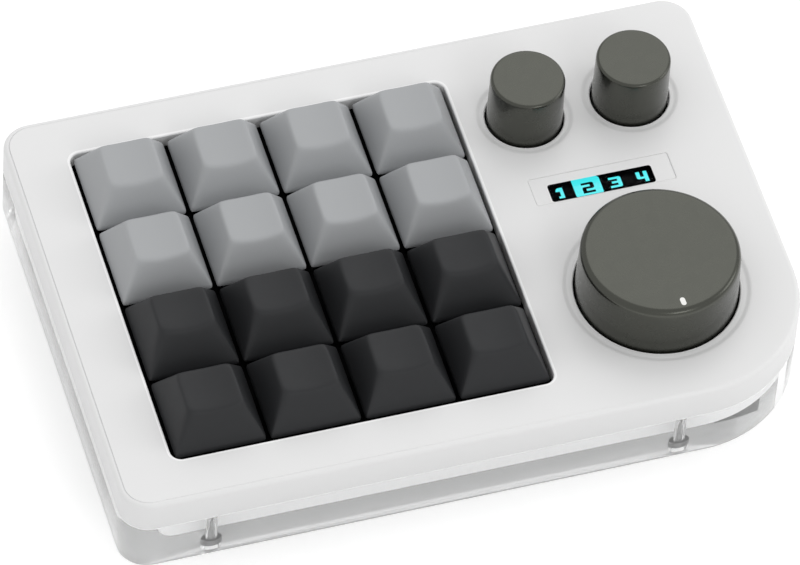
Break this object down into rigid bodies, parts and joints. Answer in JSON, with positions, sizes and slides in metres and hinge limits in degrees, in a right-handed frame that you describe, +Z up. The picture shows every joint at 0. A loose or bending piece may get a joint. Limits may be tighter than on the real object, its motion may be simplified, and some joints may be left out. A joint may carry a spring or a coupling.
{
  "type": "macro keypad",
  "caption": "Macro keypad with a square block of sculpted keys, push knobs and a small display, in a white cover on a clear base tray.",
  "frame": {"origin": "centre of the footprint, on the surface that the feet stand on", "axes": "+X to the right as used, +Y to the back where the USB socket is, +Z up"},
  "size_m": [0.1424, 0.0968, 0.032],
  "materials": {
    "cover_white": "satin",
    "clear_acrylic": "polished",
    "foot_rubber": "matte",
    "steel": "satin",
    "plate_white": "satin",
    "circuit_board": "satin",
    "chip_black": "matte",
    "cap_light": "satin",
    "cap_dark": "satin",
    "switch_plastic": "satin",
    "stem_plastic": "satin",
    "knob_metal": "anodised satin",
    "pointer_white": "satin",
    "shaft_metal": "turned",
    "encoder_plastic": "matte",
    "window_glass": "polished",
    "display_glass": "polished",
    "header_plastic": "matte"
  },
  "bodies": {
    "case": {"top_cover": "cover_white", "base_tray": "clear_acrylic", "rubber_feet": "foot_rubber", "case_screws": "steel", "switch_plate": "plate_white", "main_board": "circuit_board", "controller_chip": "chip_black", "usb_socket": "steel", "display_window": "window_glass", "display_panel": "display_glass", "display_board": "circuit_board", "display_header": "header_plastic", "switch_bottom_housings": "switch_plastic", "switch_top_housings": "switch_plastic", "encoder_housings": "encoder_plastic"},
    "key_r1c1": {"keycap_r1c1": "cap_light", "stem_r1c1": "stem_plastic"},
    "key_r1c2": {"keycap_r1c2": "cap_light", "stem_r1c2": "stem_plastic"},
    "key_r1c3": {"keycap_r1c3": "cap_light", "stem_r1c3": "stem_plastic"},
    "key_r1c4": {"keycap_r1c4": "cap_light", "stem_r1c4": "stem_plastic"},
    "key_r2c1": {"keycap_r2c1": "cap_light", "stem_r2c1": "stem_plastic"},
    "key_r2c2": {"keycap_r2c2": "cap_light", "stem_r2c2": "stem_plastic"},
    "key_r2c3": {"keycap_r2c3": "cap_light", "stem_r2c3": "stem_plastic"},
    "key_r2c4": {"keycap_r2c4": "cap_light", "stem_r2c4": "stem_plastic"},
    "key_r3c1": {"keycap_r3c1": "cap_dark", "stem_r3c1": "stem_plastic"},
    "key_r3c2": {"keycap_r3c2": "cap_dark", "stem_r3c2": "stem_plastic"},
    "key_r3c3": {"keycap_r3c3": "cap_dark", "stem_r3c3": "stem_plastic"},
    "key_r3c4": {"keycap_r3c4": "cap_dark", "stem_r3c4": "stem_plastic"},
    "key_r4c1": {"keycap_r4c1": "cap_dark", "stem_r4c1": "stem_plastic"},
    "key_r4c2": {"keycap_r4c2": "cap_dark", "stem_r4c2": "stem_plastic"},
    "key_r4c3": {"keycap_r4c3": "cap_dark", "stem_r4c3": "stem_plastic"},
    "key_r4c4": {"keycap_r4c4": "cap_dark", "stem_r4c4": "stem_plastic"},
    "left_push": {"left_push_plate": "encoder_plastic"},
    "left_dial": {"small_knob_left": "knob_metal", "left_shaft": "shaft_metal"},
    "right_push": {"right_push_plate": "encoder_plastic"},
    "right_dial": {"small_knob_right": "knob_metal", "right_shaft": "shaft_metal"},
    "large_push": {"large_push_plate": "encoder_plastic"},
    "large_dial": {"large_knob": "knob_metal", "large_shaft": "shaft_metal", "knob_pointer": "pointer_white"}
  },
  "joints": [
    {"name": "key_r1c1_press", "type": "slide", "parent": "case", "child": "key_r1c1", "axis": [0, 0, -1], "range_m": [0, 0.004], "stiffness_N_per_m": 75, "springref_m": -0.004},
    {"name": "key_r1c2_press", "type": "slide", "parent": "case", "child": "key_r1c2", "axis": [0, 0, -1], "range_m": [0, 0.004], "stiffness_N_per_m": 75, "springref_m": -0.004},
    {"name": "key_r1c3_press", "type": "slide", "parent": "case", "child": "key_r1c3", "axis": [0, 0, -1], "range_m": [0, 0.004], "stiffness_N_per_m": 75, "springref_m": -0.004},
    {"name": "key_r1c4_press", "type": "slide", "parent": "case", "child": "key_r1c4", "axis": [0, 0, -1], "range_m": [0, 0.004], "stiffness_N_per_m": 75, "springref_m": -0.004},
    {"name": "key_r2c1_press", "type": "slide", "parent": "case", "child": "key_r2c1", "axis": [0, 0, -1], "range_m": [0, 0.004], "stiffness_N_per_m": 75, "springref_m": -0.004},
    {"name": "key_r2c2_press", "type": "slide", "parent": "case", "child": "key_r2c2", "axis": [0, 0, -1], "range_m": [0, 0.004], "stiffness_N_per_m": 75, "springref_m": -0.004},
    {"name": "key_r2c3_press", "type": "slide", "parent": "case", "child": "key_r2c3", "axis": [0, 0, -1], "range_m": [0, 0.004], "stiffness_N_per_m": 75, "springref_m": -0.004},
    {"name": "key_r2c4_press", "type": "slide", "parent": "case", "child": "key_r2c4", "axis": [0, 0, -1], "range_m": [0, 0.004], "stiffness_N_per_m": 75, "springref_m": -0.004},
    {"name": "key_r3c1_press", "type": "slide", "parent": "case", "child": "key_r3c1", "axis": [0, 0, -1], "range_m": [0, 0.004], "stiffness_N_per_m": 75, "springref_m": -0.004},
    {"name": "key_r3c2_press", "type": "slide", "parent": "case", "child": "key_r3c2", "axis": [0, 0, -1], "range_m": [0, 0.004], "stiffness_N_per_m": 75, "springref_m": -0.004},
    {"name": "key_r3c3_press", "type": "slide", "parent": "case", "child": "key_r3c3", "axis": [0, 0, -1], "range_m": [0, 0.004], "stiffness_N_per_m": 75, "springref_m": -0.004},
    {"name": "key_r3c4_press", "type": "slide", "parent": "case", "child": "key_r3c4", "axis": [0, 0, -1], "range_m": [0, 0.004], "stiffness_N_per_m": 75, "springref_m": -0.004},
    {"name": "key_r4c1_press", "type": "slide", "parent": "case", "child": "key_r4c1", "axis": [0, 0, -1], "range_m": [0, 0.004], "stiffness_N_per_m": 75, "springref_m": -0.004},
    {"name": "key_r4c2_press", "type": "slide", "parent": "case", "child": "key_r4c2", "axis": [0, 0, -1], "range_m": [0, 0.004], "stiffness_N_per_m": 75, "springref_m": -0.004},
    {"name": "key_r4c3_press", "type": "slide", "parent": "case", "child": "key_r4c3", "axis": [0, 0, -1], "range_m": [0, 0.004], "stiffness_N_per_m": 75, "springref_m": -0.004},
    {"name": "key_r4c4_press", "type": "slide", "parent": "case", "child": "key_r4c4", "axis": [0, 0, -1], "range_m": [0, 0.004], "stiffness_N_per_m": 75, "springref_m": -0.004},
    {"name": "left_dial_press", "type": "slide", "parent": "case", "child": "left_push", "axis": [0, 0, -1], "range_m": [0, 0.0005], "stiffness_N_per_m": 3000, "springref_m": -0.0007},
    {"name": "left_dial_turn", "type": "hinge", "parent": "left_push", "child": "left_dial", "pos_m": [0.03103, 0.02615, 0.0204], "axis": [0, 0, 1], "continuous": true},
    {"name": "right_dial_press", "type": "slide", "parent": "case", "child": "right_push", "axis": [0, 0, -1], "range_m": [0, 0.0005], "stiffness_N_per_m": 3000, "springref_m": -0.0007},
    {"name": "right_dial_turn", "type": "hinge", "parent": "right_push", "child": "right_dial", "pos_m": [0.05293, 0.02615, 0.0204], "axis": [0, 0, 1], "continuous": true},
    {"name": "large_dial_press", "type": "slide", "parent": "case", "child": "large_push", "axis": [0, 0, -1], "range_m": [0, 0.0005], "stiffness_N_per_m": 3000, "springref_m": -0.0007},
    {"name": "large_dial_turn", "type": "hinge", "parent": "large_push", "child": "large_dial", "pos_m": [0.0436, -0.0211, 0.0204], "axis": [0, 0, 1], "continuous": true}
  ]
}
